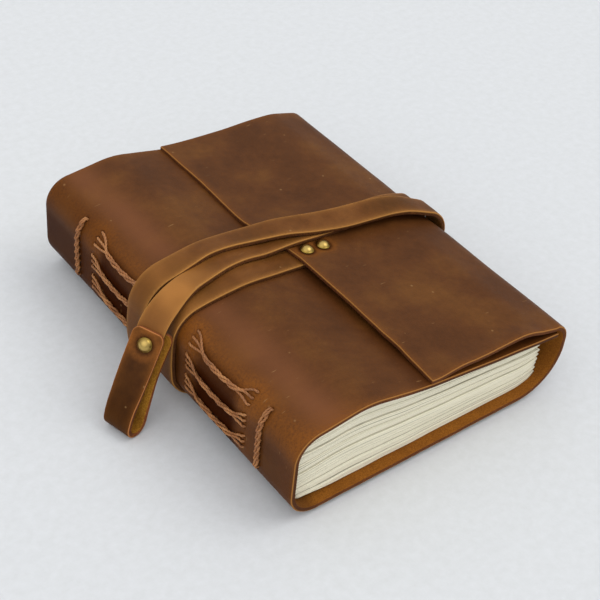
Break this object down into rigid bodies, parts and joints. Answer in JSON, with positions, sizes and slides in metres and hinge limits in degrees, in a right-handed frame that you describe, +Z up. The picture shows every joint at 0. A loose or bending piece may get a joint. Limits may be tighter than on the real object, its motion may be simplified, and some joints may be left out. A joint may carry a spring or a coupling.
{
  "type": "leather journal",
  "caption": "Hand-bound leather journal with a wrap-around fore-edge flap, long-stitch spine and a riveted strap wound round it, ending in a pull tab.",
  "frame": {"origin": "on the table, below the middle of the outline, with the journal lying on its lower cover and strap", "axes": "+X from the spine to the fore-edge, +Y along the spine, +Z up"},
  "size_m": [0.1741, 0.18, 0.0512],
  "materials": {
    "cover_leather": "satin, waxed pull-up leather",
    "strap_leather": "satin, waxed pull-up leather, raw edges",
    "tab_leather": "satin, waxed pull-up leather, raw edges",
    "paper": "matt uncoated paper",
    "waxed_thread": "waxed, slightly glossy",
    "rivet_brass": "antiqued and polished"
  },
  "bodies": {
    "root": {"cover": "cover_leather", "page_block": "paper", "strap": "strap_leather", "pull_tab": "tab_leather", "flap_rivet_cap_1": "rivet_brass", "flap_rivet_post_1": "rivet_brass", "flap_rivet_cap_2": "rivet_brass", "flap_rivet_post_2": "rivet_brass", "tab_rivet_cap": "rivet_brass", "tab_rivet_post": "rivet_brass", "near_stitch_top": "waxed_thread", "near_stitch_middle": "waxed_thread", "near_stitch_bottom": "waxed_thread", "far_stitch_top": "waxed_thread", "far_stitch_middle": "waxed_thread", "far_stitch_bottom": "waxed_thread", "chain_stitch_near": "waxed_thread", "chain_stitch_far": "waxed_thread"}
  },
  "joints": []
}
